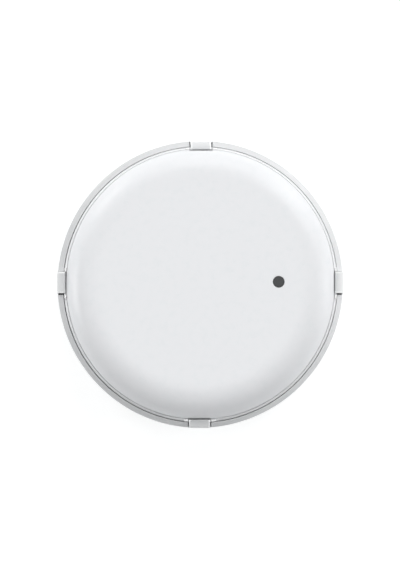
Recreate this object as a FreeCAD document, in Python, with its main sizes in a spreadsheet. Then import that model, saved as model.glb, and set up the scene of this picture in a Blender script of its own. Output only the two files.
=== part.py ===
import FreeCAD, Part
import os
import re
import Sketcher

# Round beacon tag in its wall cradle: domed cover, rear shell, board with coin cell, four snap clips.
# Millimetres. Z points out of the face, X right and Y up as it hangs on the wall.
# The origin is the middle of the adhesive pad's back.

doc = FreeCAD.newDocument("beacon_tag")

# Sizes that can be set by themselves, in millimetres unless the name says otherwise
sizes = {
    # cradle: floor, wall and sloping ring
    "cradle_radius": 26.0,
    "cradle_wall": 0.85,
    "cradle_floor": 1.8,
    "cradle_taper": 0.1,
    "cradle_chamfer": 0.5,
    "ring_rise": 0.3,
    "ring_slope_degrees": 33.0,
    "ring_round": 0.2,
    "seat_radius": 20.5,
    "seat_width": 1.6,
    "seat_height": 0.2,
    "screw_spacing": 34.0,
    "screw_hole": 3.4,
    "screw_sink": 6.0,
    "screw_sink_degrees": 90.0,
    # adhesive pad under the cradle
    "pad_radius": 12.0,
    "pad_thickness": 0.8,
    "pad_proud": 0.3,
    "pad_gap": 0.15,
    # snap clips, and the posts of the shell beside them
    "clip_width": 3.86,
    "clip_slot": 0.22,
    "clip_proud": 0.15,
    "clip_gap": 0.15,
    "clip_lip": 0.85,
    "clip_lip_gap": 0.05,
    "clip_tip_gap": 0.31,
    "clip_fall": 0.45,
    "clip_nose": 0.12,
    "clip_round": 0.25,
    "side_clip_offset": 0.35,
    "post_width": 0.6,
    "post_reach": 0.19,
    "post_depth": 3.0,
    "post_gap": 0.18,
    # rear shell
    "tag_gap": 0.22,
    "tag_taper": 0.12,
    "tag_chamfer": 0.7,
    "rim_lip": 0.25,
    "rim_lip_height": 0.5,
    "rim_lip_round": 0.16,
    "shell_wall": 1.23,
    "shell_floor": 1.2,
    "clip_seat_rise": 0.2,
    "boss_radius": 2.1,
    "boss_height": 0.8,
    "boss_inset": 4.2,
    "pilot_radius": 0.6,
    "pilot_end_gap": 0.2,
    "support_radius": 8.5,
    "support_wall": 0.8,
    "key_width": 2.0,
    "key_reach": 1.3,
    "key_gap": 0.15,
    "key_rise": 0.4,
    # domed cover and its plug
    "parting_gap": 0.13,
    "cover_wall": 1.4,
    "dome_width": 5.61,
    "dome_ease": 1.29,
    "cover_edge": 0.9,
    "chord_inset": 0.24,
    "plug_gap": 0.08,
    "plug_wall": 1.6,
    "plug_depth": 2.6,
    "plug_chamfer": 0.25,
    "gusset_width": 0.8,
    "gusset_reach": 1.6,
    "gusset_drop": 2.2,
    "gusset_root": 0.3,
    # seal ring in the plug's groove
    "seal_section": 1.0,
    "seal_gap": 0.02,
    "seal_groove": 1.3,
    "seal_edge": 0.5,
    # smoked light pipe in the cover
    "window_radius": 1.1,
    "window_inset": 4.61,
    "window_gap": 0.03,
    "window_recess": 0.05,
    "pipe_flange_radius": 1.7,
    "pipe_flange": 0.5,
    "pipe_boss_wall": 0.7,
    "pipe_boss_drop": 1.1,
    "pipe_gap": 0.5,
    # board and its screws
    "board_thickness": 0.8,
    "board_gap": 0.7,
    "board_hole_gap": 0.15,
    "shank_radius": 0.6,
    "shank_length": 2.1,
    "head_radius": 1.4,
    "head_height": 0.8,
    "recess_radius": 0.55,
    "recess_depth": 0.4,
    # coin cell, size 2450
    "cell_x": -6.5,
    "cell_radius": 12.25,
    "cell_height": 5.0,
    "can_wall": 0.3,
    "cap_inset": 1.55,
    "cap_proud": 0.25,
    "gasket_width": 0.5,
    "can_round": 0.6,
    # holder and contacts
    "holder_floor": 0.4,
    "holder_wall": 0.9,
    "holder_height": 3.4,
    "holder_gap": 0.25,
    "holder_mouth": 17.0,
    "leaf_window": 13.0,
    "strap_thickness": 0.25,
    "strap_width": 5.0,
    "strap_gap": 0.3,
    "strap_foot": 1.9,
    "strap_reach": 8.0,
    "strap_side_gap": 0.25,
    "head_room": 0.65,
    "leaf_thickness": 0.15,
    "leaf_width": 4.0,
    "leaf_flat": 3.0,
    "leaf_gap": 0.4,
    "leaf_touch": 1.6,
    # radio chip, crystals, sensor and indicator; each inset is measured in from the edge of the board
    "chip_side": 6.0,
    "chip_height": 0.85,
    "chip_inset": 11.0,
    "chip_y": 7.6,
    "crystal_length": 2.5,
    "crystal_width": 2.0,
    "crystal_height": 0.6,
    "crystal_inset": 5.8,
    "crystal_y": 6.0,
    "clock_length": 3.2,
    "clock_width": 1.5,
    "clock_height": 0.9,
    "clock_inset": 6.0,
    "clock_y": 9.3,
    "sensor_side": 2.0,
    "sensor_height": 0.9,
    "sensor_inset": 5.8,
    "sensor_y": -3.9,
    "led_length": 1.6,
    "led_width": 0.8,
    "led_height": 0.6,
    # power parts and small chips
    "bulk_length": 3.2,
    "bulk_width": 2.5,
    "bulk_height": 1.9,
    "bulk_inset": 6.6,
    "bulk_y": -9.2,
    "inductor_length": 2.5,
    "inductor_width": 2.0,
    "inductor_height": 1.1,
    "inductor_inset": 10.8,
    "inductor_y": -13.4,
    "small_length": 1.0,
    "small_width": 0.5,
    "small_height": 0.45,
    "small_pitch": 1.3,
    "capacitor_inset": 13.6,
    "capacitor_gap": 0.3,
    "resistor_inset": 13.0,
    "resistor_y": 3.2,
    # antenna meander and test pads
    "antenna_line": 0.7,
    "antenna_pitch": 2.4,
    "antenna_height": 4.0,
    "antenna_x": 1.8,
    "antenna_inset": 4.4,
    "copper": 0.05,
    "test_pad_radius": 0.55,
    "test_pad_pitch": 1.7,
    "test_pad_x": -5.6,
    "test_pad_inset": 3.7,
    # two tact switches
    "switch_side": 4.5,
    "switch_base": 1.2,
    "switch_cover": 0.3,
    "well_radius": 1.6,
    "well_depth": 1.0,
    "mode_switch_inset": 11.9,
    "mode_switch_y": -7.4,
    "reset_switch_x": 5.0,
    "reset_switch_inset": 7.2,
    "button_radius": 1.0,
    "button_proud": 0.6,
    "button_edge": 0.15,
    "button_flange_radius": 1.4,
    "button_flange": 0.3,
    "button_gap": 0.08,
    "button_slack": 0.02,
    "snap_radius": 1.35,
    "snap_metal": 0.08,
    "snap_flat_radius": 0.6,
}

# How many of each
boss_count = 3
gusset_count = 6
capacitor_count = 5
resistor_count = 4
antenna_turns = 4
test_pad_count = 5

# Places that follow from the sizes: radii from the tag's axis, and heights above the wall
places = {
    # cradle
    "floor_top": "pad_proud + cradle_floor",
    "shell_back": "floor_top + seat_height",
    "bore_radius": "cradle_radius - cradle_wall",
    # rear shell and what stands in it
    "tag_radius": "bore_radius - tag_gap",
    "rebate_radius": "tag_radius - rim_lip",
    "shell_bore": "tag_radius - shell_wall",
    "shell_inside": "shell_back + shell_floor",
    "board_back": "shell_inside + boss_height",
    "board_front": "board_back + board_thickness",
    "board_radius": "shell_bore - board_gap",
    "boss_circle": "shell_bore - boss_inset",
    "cell_bottom": "board_front + holder_floor",
    "can_bottom": "cell_bottom + cap_proud",
    "cell_top": "cell_bottom + cell_height",
    "strap_top": "cell_top + strap_thickness",
    "cap_radius": "cell_radius - cap_inset",
    "holder_bore": "cell_radius + holder_gap",
    "strap_inside": "cell_x + cell_radius + strap_gap",
    # cover
    "cover_radius": "rebate_radius - parting_gap",
    "chord": "cover_radius - chord_inset",
    "cover_inside": "strap_top + head_room",
    "crown": "cover_inside + cover_wall",
    "flat_radius": "cover_radius - dome_width",
    "dome_radius": "dome_width + dome_ease",
    "dome_centre": "crown - dome_radius",
    "dome_edge": "dome_centre + sqrt(dome_radius^2 - (cover_radius - flat_radius)^2)",
    "shoulder": "dome_edge - cover_edge",
    "plug_radius": "shell_bore - plug_gap",
    "plug_inside": "plug_radius - plug_wall",
    "plug_bottom": "shoulder - plug_depth",
    "vault_radius": "dome_radius - cover_wall",
    "vault_edge": "dome_centre + sqrt(vault_radius^2 - (plug_inside - flat_radius)^2)",
    "seal_middle": "plug_bottom + seal_edge + seal_groove / 2",
    "seal_circle": "shell_bore - seal_gap - seal_section / 2",
    "groove_radius": "seal_circle - seal_section / 2 - seal_gap",
    # what stands on the board
    "window_x": "flat_radius - window_inset",
    "chip_x": "board_radius - chip_inset",
    "crystal_x": "board_radius - crystal_inset",
    "clock_x": "board_radius - clock_inset",
    "sensor_x": "board_radius - sensor_inset",
    "bulk_x": "board_radius - bulk_inset",
    "inductor_x": "board_radius - inductor_inset",
    "capacitor_x": "board_radius - capacitor_inset",
    "capacitor_y": "chip_y + chip_side / 2 + capacitor_gap + small_length / 2",
    "resistor_x": "board_radius - resistor_inset",
    "antenna_y": "board_radius - antenna_inset - antenna_height",
    "test_pad_y": "test_pad_inset - board_radius",
    "mode_switch_x": "board_radius - mode_switch_inset",
    "reset_switch_y": "reset_switch_inset - board_radius",
    # clips, posts and ring
    "clip_seat": "shoulder + clip_seat_rise",
    "lip_bottom": "clip_seat + clip_lip_gap",
    "lip_top": "lip_bottom + clip_lip",
    "lip_tip": "chord + clip_tip_gap",
    "clip_outside": "cradle_radius + clip_proud",
    "post_radius": "tag_radius + post_reach",
    "clip_inside": "post_radius + clip_gap",
    "notch_width": "clip_width + 2 * clip_slot",
    "post_span": "notch_width + 2 * post_width",
    "post_bottom": "clip_seat - post_depth",
    "ring_top": "shoulder + ring_rise",
    "ring_edge": "ring_top - cradle_wall * tan(ring_slope_degrees)",
    # tact switches
    "switch_top": "board_front + switch_base",
    "well_bottom": "switch_top - well_depth",
    "cover_top": "switch_top + switch_cover",
    "flange_top": "switch_top - button_slack",
    "flange_bottom": "flange_top - button_flange",
    "snap_top": "flange_bottom - button_slack",
}


def spelled(formula):
    """The formula with each size and place written as its sheet knows it."""

    def with_sheet(match):
        word = match.group(0)
        sheet_name = "Sizes." if word in sizes else "Places." if word in places else ""
        return sheet_name + word

    return re.sub(r"[a-z_]+", with_sheet, formula)


sheet = doc.addObject("Spreadsheet::Sheet", "Sizes")
for row, (name, size) in enumerate(sizes.items(), start=1):
    sheet.set(f"A{row}", name)
    sheet.set(f"B{row}", str(size))
    sheet.setAlias(f"B{row}", name)
place_sheet = doc.addObject("Spreadsheet::Sheet", "Places")
for row, (name, formula) in enumerate(places.items(), start=1):
    place_sheet.set(f"A{row}", name)
    place_sheet.set(f"B{row}", "=" + spelled(formula))
    place_sheet.setAlias(f"B{row}", name)
doc.recompute()


# Helpers: formulas, sketches and features


def value(formula):
    """What a formula comes to with the sizes as they are."""
    return float(place_sheet.evalExpression(spelled(formula)))


def bind(thing, **formulas):
    """Tie each named property of a feature to its formula."""
    for name, formula in formulas.items():
        thing.setExpression(name, spelled(formula))


def place(thing, x="0", y="0", z="0"):
    """Tie the position of an object to three formulas."""
    for axis, formula in zip("xyz", (x, y, z)):
        thing.setExpression(f"Placement.Base.{axis}", spelled(formula))


def new_sketch(body, plane, name, height="0"):
    """A sketch on one of the body's own planes, moved along its normal by a height."""
    sketch = body.newObject("Sketcher::SketchObject", f"{body.Name}_{name}")
    role = plane + "_Plane"
    support = [f for f in body.Origin.OriginFeatures if f.Role == role][0]
    sketch.AttachmentSupport = [(support, "")]
    sketch.MapMode = "FlatFace"
    sketch.setExpression("AttachmentOffset.Base.z", spelled(height))
    return sketch


def hold(sketch, geometry, point, corner):
    """Fix one point of a sketch at two formulas, measured from the sketch's origin."""
    for kind, formula in zip(("DistanceX", "DistanceY"), corner):
        number = sketch.addConstraint(Sketcher.Constraint(kind, -1, 1, geometry, point, value(formula)))
        sketch.setExpression(f"Constraints[{number}]", spelled(formula))


def outline(sketch, corners, arcs=None):
    """Closed outline through the corners. arcs gives, for a corner's number, the radius of the
    arc from it to the next one, positive where the arc turns clockwise."""
    arcs = arcs or {}
    points = [FreeCAD.Vector(value(x), value(y), 0) for x, y in corners]
    first = sketch.GeometryCount
    starts = []
    for number, start in enumerate(points):
        end = points[(number + 1) % len(points)]
        if number in arcs:
            radius = value(arcs[number])
            across = end - start
            half = across.Length / 2
            side = FreeCAD.Vector(-across.y, across.x, 0).normalize()
            rise = abs(radius) - (radius**2 - half**2) ** 0.5
            turn = 1 if radius > 0 else -1
            middle = (start + end) * 0.5 + side * (rise * turn)
            sketch.addGeometry(Part.Arc(start, middle, end), False)
            starts.append((2, 1) if radius > 0 else (1, 2))
        else:
            sketch.addGeometry(Part.LineSegment(start, end), False)
            starts.append((1, 2))
    count = len(points)
    for number in range(count):
        following = (number + 1) % count
        sketch.addConstraint(
            Sketcher.Constraint(
                "Coincident", first + number, starts[number][1], first + following, starts[following][0]
            )
        )
    for number, corner in enumerate(corners):
        hold(sketch, first + number, starts[number][0], corner)
    for number, radius in arcs.items():
        size = radius.lstrip("-")
        at = sketch.addConstraint(Sketcher.Constraint("Radius", first + number, value(size)))
        sketch.setExpression(f"Constraints[{at}]", spelled(size))


def circle(sketch, x, y, radius):
    """Circle at two formulas, with its radius tied to a third."""
    centre = FreeCAD.Vector(value(x), value(y), 0)
    number = sketch.addGeometry(Part.Circle(centre, FreeCAD.Vector(0, 0, 1), value(radius)), False)
    hold(sketch, number, 3, (x, y))
    at = sketch.addConstraint(Sketcher.Constraint("Radius", number, value(radius)))
    sketch.setExpression(f"Constraints[{at}]", spelled(radius))


def rectangle(sketch, low_x, high_x, low_y, high_y):
    """Upright rectangle between four formulas."""
    outline(sketch, [(low_x, low_y), (high_x, low_y), (high_x, high_y), (low_x, high_y)])


def turned(body, name, corners, arcs=None):
    """Solid of revolution about Z from corners given as radius and height."""
    sketch = new_sketch(body, "XZ", name + "_outline")
    outline(sketch, corners, arcs)
    feature = body.newObject("PartDesign::Revolution", f"{body.Name}_{name}")
    feature.Profile = sketch
    feature.ReferenceAxis = (sketch, ["V_Axis"])
    feature.Angle = 360
    return feature


def raised(body, sketch, length):
    """Pad of a sketch upward by a formula."""
    feature = body.newObject("PartDesign::Pad", sketch.Name + "_pad")
    feature.Profile = sketch
    bind(feature, Length=length)
    return feature


def cut_up(body, sketch, length=None):
    """Pocket from a sketch upward: by a formula, or through all that is above it."""
    feature = body.newObject("PartDesign::Pocket", sketch.Name + "_cut")
    feature.Profile = sketch
    feature.Reversed = True
    if length is None:
        feature.Type = "ThroughAll"
    else:
        bind(feature, Length=length)
    return feature


def patterned(body, feature, count):
    """Copies of a feature evenly round Z, the feature itself among them."""
    pattern = body.newObject("PartDesign::PolarPattern", feature.Name + "_ring")
    pattern.Originals = [feature]
    z_axis = [f for f in body.Origin.OriginFeatures if f.Role == "Z_Axis"][0]
    pattern.Axis = (z_axis, [""])
    pattern.Angle = 360
    pattern.Occurrences = count
    body.Tip = pattern
    return pattern


def eased(body, kind, base, size, chosen):
    """Fillet or chamfer of the edges of a feature that chosen() picks."""
    doc.recompute()
    edges = [f"Edge{n}" for n, edge in enumerate(base.Shape.Edges, start=1) if chosen(edge)]
    if not edges:
        raise ValueError(f"{body.Name} has no edge to ease")
    feature = body.newObject("PartDesign::" + kind, f"{base.Name}_{kind.lower()}")
    feature.Base = (base, edges)
    bind(feature, **{"Radius" if kind == "Fillet" else "Size": size})
    return feature


def at_height_and_radius(height, radius):
    """Picks the edges whose ends lie at a height and at a distance from Z."""
    level, reach = value(height), value(radius)

    def chosen(edge):
        ends = [vertex.Point for vertex in edge.Vertexes]
        level_with = all(abs(p.z - level) < 1e-4 for p in ends)
        return level_with and all(abs((p.x**2 + p.y**2) ** 0.5 - reach) < 1e-4 for p in ends)

    return chosen


def new_body(name):
    return doc.addObject("PartDesign::Body", name)


def box(name, x, y, base, length, width, height):
    """Upright block, centred at x and y, with its base at a height."""
    block = doc.addObject("Part::Box", name)
    bind(block, Length=length, Width=width, Height=height)
    place(block, f"{x} - {length} / 2", f"{y} - {width} / 2", base)
    return block


def cylinder(name, x, y, base, radius, height):
    rod = doc.addObject("Part::Cylinder", name)
    bind(rod, Radius=radius, Height=height)
    place(rod, x, y, base)
    return rod


def cut(name, base, tool):
    piece = doc.addObject("Part::Cut", name)
    piece.Base = base
    piece.Tool = tool
    return piece


def group(name, members):
    """One node that holds several like solids."""
    piece = doc.addObject("Part::Compound", name)
    piece.Links = members
    return piece


# The four places round the rim where a clip sits, as directions from the middle
stations = {"top": (0, 1), "right": (1, 0), "bottom": (0, -1), "left": (-1, 0)}


def station_rectangles(sketch, inside, outside, width):
    """A rectangle at each clip, from one radius to another. The side clips sit a little high,
    so that the tag goes in only one way up."""
    for across, up in stations.values():
        if across:
            low, high = sorted([f"{across} * {inside}", f"{across} * {outside}"], key=value)
            rectangle(sketch, low, high, f"side_clip_offset - {width} / 2", f"side_clip_offset + {width} / 2")
        else:
            low, high = sorted([f"{up} * {inside}", f"{up} * {outside}"], key=value)
            rectangle(sketch, f"-{width} / 2", f"{width} / 2", low, high)


# Cradle: floor with a pad recess, wall, ring that slopes outward, and a raised seat for the tag


def make_cradle():
    body = new_body("mount_cradle")
    cup = turned(
        body,
        "cup",
        [
            ("0", "pad_thickness"),
            ("pad_radius + pad_gap", "pad_thickness"),
            ("pad_radius + pad_gap", "pad_proud"),
            ("cradle_radius - cradle_taper - cradle_chamfer", "pad_proud"),
            ("cradle_radius - cradle_taper", "pad_proud + cradle_chamfer"),
            ("cradle_radius", "ring_edge"),
            ("bore_radius", "ring_top"),
            ("bore_radius", "floor_top"),
            ("seat_radius + seat_width", "floor_top"),
            ("seat_radius + seat_width", "shell_back"),
            ("seat_radius", "shell_back"),
            ("seat_radius", "floor_top"),
            ("0", "floor_top"),
        ],
    )
    eased(body, "Fillet", cup, "ring_round", at_height_and_radius("ring_edge", "cradle_radius"))

    notches = new_sketch(body, "XY", "clip_notches", "floor_top")
    station_rectangles(notches, "(bore_radius - tag_gap)", "(clip_outside + clip_gap)", "notch_width")
    cut_up(body, notches)

    reliefs = new_sketch(body, "XY", "post_reliefs", "post_bottom - post_gap")
    station_rectangles(reliefs, "(bore_radius - tag_gap)", "(post_radius + post_gap)", "(post_span + 2 * post_gap)")
    cut_up(body, reliefs)

    screws = new_sketch(body, "XY", "screw_places", "floor_top")
    for side in ("-", ""):
        circle(screws, f"{side}screw_spacing / 2", "0", "screw_hole / 2")
    doc.recompute()
    holes = body.newObject("PartDesign::Hole", "mount_cradle_screw_holes")
    holes.Profile = screws
    holes.ThreadType = "None"
    holes.DepthType = "ThroughAll"
    holes.HoleCutType = "Countersink"
    holes.HoleCutCustomValues = True
    bind(
        holes,
        Diameter="screw_hole",
        HoleCutDiameter="screw_sink",
        HoleCutCountersinkAngle="screw_sink_degrees",
    )
    return body


def make_clip(name, across, up):
    """Finger that rises from the cradle's floor and ends in a lip over the tag's rim."""
    body = new_body(name)
    sketch = new_sketch(body, "XZ", "side")
    outline(
        sketch,
        [
            ("clip_inside", "floor_top"),
            ("cradle_radius - cradle_taper", "floor_top"),
            ("clip_outside", "ring_edge"),
            ("clip_outside", "lip_top - clip_fall"),
            ("lip_tip", "lip_top"),
            ("lip_tip", "lip_bottom"),
            ("clip_inside", "lip_bottom"),
        ],
    )
    finger = raised(body, sketch, "clip_width")
    finger.SideType = "Symmetric"
    outer = at_height_in_section("lip_top - clip_fall", "clip_outside")
    rounded = eased(body, "Fillet", finger, "clip_round", outer)
    eased(body, "Chamfer", rounded, "clip_nose", at_height_in_section("lip_top", "lip_tip"))
    turn = {(1, 0): 0, (0, 1): 90, (-1, 0): 180, (0, -1): 270}[across, up]
    body.Placement = FreeCAD.Placement(FreeCAD.Vector(), FreeCAD.Rotation(FreeCAD.Vector(0, 0, 1), turn))
    if across:
        place(body, y="side_clip_offset")
    return body


def at_height_in_section(height, reach):
    """Picks the edges of an extruded section that run through one of its corners."""
    level, out = value(height), value(reach)

    def chosen(edge):
        return all(abs(v.Z - level) < 1e-4 and abs(v.X - out) < 1e-4 for v in edge.Vertexes)

    return chosen


# Rear shell: cup with a stepped rim, posts beside the clips, screw bosses and board key


def make_rear_shell():
    body = new_body("rear_shell")
    turned(
        body,
        "cup",
        [
            ("0", "shell_back"),
            ("tag_radius - tag_taper - tag_chamfer", "shell_back"),
            ("tag_radius - tag_taper", "shell_back + tag_chamfer"),
            ("tag_radius", "shoulder"),
            ("tag_radius", "shoulder + rim_lip_height - rim_lip / 4"),
            ("rebate_radius", "shoulder + rim_lip_height - rim_lip / 4"),
            ("rebate_radius", "shoulder"),
            ("shell_bore", "shoulder"),
            ("shell_bore", "shell_inside"),
            ("0", "shell_inside"),
        ],
        {4: "-rim_lip_round"},
    )

    posts = new_sketch(body, "XY", "posts", "post_bottom")
    station_rectangles(posts, "rebate_radius", "post_radius", "post_span")
    raised(body, posts, "lip_top - post_bottom")

    seats = new_sketch(body, "XY", "clip_seats", "clip_seat")
    station_rectangles(seats, "chord", "(post_radius + clip_gap)", "notch_width")
    cut_up(body, seats)

    boss_sketch = new_sketch(body, "XY", "boss", "shell_inside")
    circle(boss_sketch, "boss_circle", "0", "boss_radius")
    patterned(body, raised(body, boss_sketch, "boss_height"), boss_count)

    ring = new_sketch(body, "XY", "board_support", "shell_inside")
    circle(ring, "cell_x", "0", "support_radius")
    circle(ring, "cell_x", "0", "support_radius - support_wall")
    raised(body, ring, "boss_height")

    key = new_sketch(body, "XY", "board_key", "shell_inside")
    rectangle(key, "-key_width / 2", "key_width / 2", "shell_bore - key_reach", "shell_bore + shell_wall / 2")
    raised(body, key, "board_front + key_rise - shell_inside")

    pilot = new_sketch(body, "XY", "pilot", "board_front - shank_length - pilot_end_gap")
    circle(pilot, "boss_circle", "0", "pilot_radius")
    patterned(body, cut_up(body, pilot), boss_count)
    return body


# Cover: flat middle, round shoulder, plug with a seal groove, and a hole for the light pipe


def make_cover():
    body = new_body("front_cover")
    turned(
        body,
        "dome",
        [
            ("0", "crown"),
            ("flat_radius", "crown"),
            ("cover_radius", "dome_edge"),
            ("cover_radius", "shoulder"),
            ("plug_radius", "shoulder"),
            ("plug_radius", "plug_bottom + plug_chamfer"),
            ("plug_radius - plug_chamfer", "plug_bottom"),
            ("plug_inside", "plug_bottom"),
            ("plug_inside", "vault_edge"),
            ("flat_radius", "cover_inside"),
            ("0", "cover_inside"),
        ],
        {1: "dome_radius", 8: "-vault_radius"},
    )

    gusset = new_sketch(body, "XY", "gusset", "cover_inside - gusset_drop")
    rectangle(
        gusset,
        "-gusset_width / 2",
        "gusset_width / 2",
        "plug_inside - gusset_reach",
        "plug_inside + gusset_root",
    )
    patterned(body, raised(body, gusset, "gusset_drop"), gusset_count)

    boss = new_sketch(body, "XY", "pipe_boss", "cover_inside - pipe_boss_drop")
    circle(boss, "window_x", "side_clip_offset", "pipe_flange_radius + window_gap + pipe_boss_wall")
    circle(boss, "window_x", "side_clip_offset", "pipe_flange_radius + window_gap")
    raised(body, boss, "pipe_boss_drop")

    window = new_sketch(body, "XY", "window", "cover_inside")
    circle(window, "window_x", "side_clip_offset", "window_radius + window_gap")
    cut_up(body, window)

    chords = new_sketch(body, "XY", "clip_chords", "shoulder")
    station_rectangles(chords, "chord", "(cover_radius + parting_gap)", "notch_width")
    cut_up(body, chords)

    groove_sketch = new_sketch(body, "XZ", "seal_groove")
    rectangle(
        groove_sketch,
        "groove_radius",
        "plug_radius + plug_gap",
        "seal_middle - seal_groove / 2",
        "seal_middle + seal_groove / 2",
    )
    groove = body.newObject("PartDesign::Groove", "front_cover_groove")
    groove.Profile = groove_sketch
    groove.ReferenceAxis = (groove_sketch, ["V_Axis"])
    groove.Angle = 360
    return body


def make_seal():
    ring = doc.addObject("Part::Torus", "seal_ring")
    bind(ring, Radius1="seal_circle", Radius2="seal_section / 2")
    place(ring, z="seal_middle")
    return ring


def make_light_pipe():
    body = new_body("light_pipe")
    turned(
        body,
        "rod",
        [
            ("0", "board_front + led_height + pipe_gap"),
            ("window_radius", "board_front + led_height + pipe_gap"),
            ("window_radius", "cover_inside - pipe_flange"),
            ("pipe_flange_radius", "cover_inside - pipe_flange"),
            ("pipe_flange_radius", "cover_inside"),
            ("window_radius", "cover_inside"),
            ("window_radius", "crown - window_recess"),
            ("0", "crown - window_recess"),
        ],
    )
    place(body, "window_x", "side_clip_offset")
    return body


# Board, its key notch and its screws


def make_board():
    body = new_body("circuit_board")
    disc = new_sketch(body, "XY", "disc", "board_back")
    circle(disc, "0", "0", "board_radius")
    raised(body, disc, "board_thickness")

    notch = new_sketch(body, "XY", "key_notch", "board_back")
    half = "(key_width / 2 + key_gap)"
    rectangle(notch, f"-{half}", half, "shell_bore - key_reach - key_gap", "shell_bore")
    cut_up(body, notch)

    hole = new_sketch(body, "XY", "screw_hole", "board_back")
    circle(hole, "boss_circle", "0", "shank_radius + board_hole_gap")
    patterned(body, cut_up(body, hole), boss_count)
    return body


def make_board_screws():
    screws = []
    for number in range(boss_count):
        body = new_body(f"board_screw_{number + 1}")
        turned(
            body,
            "screw",
            [
                ("0", "board_front - shank_length"),
                ("shank_radius", "board_front - shank_length"),
                ("shank_radius", "board_front"),
                ("head_radius", "board_front"),
                ("head_radius", "board_front + head_height / 2"),
                ("head_radius - head_height / 2", "board_front + head_height"),
                ("recess_radius", "board_front + head_height"),
                ("recess_radius", "board_front + head_height - recess_depth"),
                ("0", "board_front + head_height - recess_depth"),
            ],
        )
        turn = number * 360 / boss_count
        place(body, f"boss_circle * cos({turn})", f"boss_circle * sin({turn})")
        screws.append(body)
    return group("board_screws", screws)


# Coin cell in three pieces: can on top, gasket, and cap with the filling below


def make_cell():
    can = new_body("battery_can")
    turned(
        can,
        "can",
        [
            ("0", "cell_top"),
            ("cell_radius - can_round", "cell_top"),
            ("cell_radius", "cell_top - can_round"),
            ("cell_radius", "can_bottom"),
            ("cap_radius + gasket_width", "can_bottom"),
            ("cap_radius + gasket_width", "can_bottom + can_wall"),
            ("cell_radius - can_wall", "can_bottom + can_wall"),
            ("cell_radius - can_wall", "cell_top - can_round"),
            ("cell_radius - can_round", "cell_top - can_wall"),
            ("0", "cell_top - can_wall"),
        ],
        {1: "can_round"},
    )
    gasket = new_body("battery_gasket")
    turned(
        gasket,
        "gasket",
        [
            ("cap_radius", "can_bottom"),
            ("cap_radius + gasket_width", "can_bottom"),
            ("cap_radius + gasket_width", "can_bottom + can_wall"),
            ("cell_radius - can_wall", "can_bottom + can_wall"),
            ("cell_radius - can_wall", "cell_top - can_round"),
            ("cap_radius", "cell_top - can_round"),
        ],
    )
    cap = new_body("battery_cap")
    turned(
        cap,
        "cap",
        [
            ("0", "cell_bottom"),
            ("cap_radius - cap_proud", "cell_bottom"),
            ("cap_radius", "can_bottom"),
            ("cap_radius", "cell_top - can_round"),
            ("0", "cell_top - can_round"),
        ],
    )
    for piece in (can, gasket, cap):
        place(piece, "cell_x")
    return [can, gasket, cap]


# Holder and contacts


def make_holder():
    body = new_body("battery_holder")
    disc = new_sketch(body, "XY", "disc", "board_front")
    circle(disc, "cell_x", "0", "holder_bore + holder_wall")
    raised(body, disc, "holder_height")

    bay = new_sketch(body, "XY", "cell_bay", "cell_bottom")
    circle(bay, "cell_x", "0", "holder_bore")
    cut_up(body, bay)

    mouth = new_sketch(body, "XY", "mouth", "cell_bottom")
    rectangle(
        mouth,
        "cell_x - holder_bore - 2 * holder_wall",
        "cell_x - holder_bore / 2",
        "-holder_mouth / 2",
        "holder_mouth / 2",
    )
    cut_up(body, mouth)

    slot = new_sketch(body, "XY", "strap_slot", "board_front")
    rectangle(
        slot,
        "strap_inside - strap_side_gap",
        "cell_x + holder_bore + 2 * holder_wall",
        "-strap_width / 2 - strap_side_gap",
        "strap_width / 2 + strap_side_gap",
    )
    cut_up(body, slot)

    window = new_sketch(body, "XY", "leaf_window", "board_front")
    half_width = "(leaf_width / 2 + leaf_gap)"
    rectangle(
        window, "cell_x - leaf_window / 2", "cell_x + leaf_window / 2", f"-{half_width}", half_width
    )
    cut_up(body, window)
    return body


def make_positive_contact():
    """Strap from a foot on the board, up past the cell's side and back over its top."""
    body = new_body("positive_contact")
    sketch = new_sketch(body, "XZ", "side")
    outline(
        sketch,
        [
            ("strap_inside", "board_front"),
            ("strap_inside + strap_foot", "board_front"),
            ("strap_inside + strap_foot", "board_front + strap_thickness"),
            ("strap_inside + strap_thickness", "board_front + strap_thickness"),
            ("strap_inside + strap_thickness", "strap_top"),
            ("strap_inside - strap_reach", "strap_top"),
            ("strap_inside - strap_reach", "cell_top"),
            ("strap_inside", "cell_top"),
        ],
    )
    strap = raised(body, sketch, "strap_width")
    strap.SideType = "Symmetric"
    bend = at_height_in_section("strap_top", "strap_inside + strap_thickness")
    eased(body, "Fillet", strap, "strap_thickness", bend)
    return body


def make_negative_contact():
    """Leaf in the holder's window: flat on the board at both ends, raised to the cell between."""
    body = new_body("negative_contact")
    sketch = new_sketch(body, "XZ", "side")
    end = "(leaf_window / 2 - leaf_gap)"
    across = [
        (f"cell_x - {end}", "board_front"),
        (f"cell_x - {end} + leaf_flat", "board_front"),
        ("cell_x - leaf_touch / 2", "cell_bottom - leaf_thickness"),
        ("cell_x + leaf_touch / 2", "cell_bottom - leaf_thickness"),
        (f"cell_x + {end} - leaf_flat", "board_front"),
        (f"cell_x + {end}", "board_front"),
    ]
    back = [(x, f"{z} + leaf_thickness") for x, z in reversed(across)]
    outline(sketch, across + back)
    leaf = raised(body, sketch, "leaf_width")
    leaf.SideType = "Symmetric"
    return body


# Chips on the board


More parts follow.
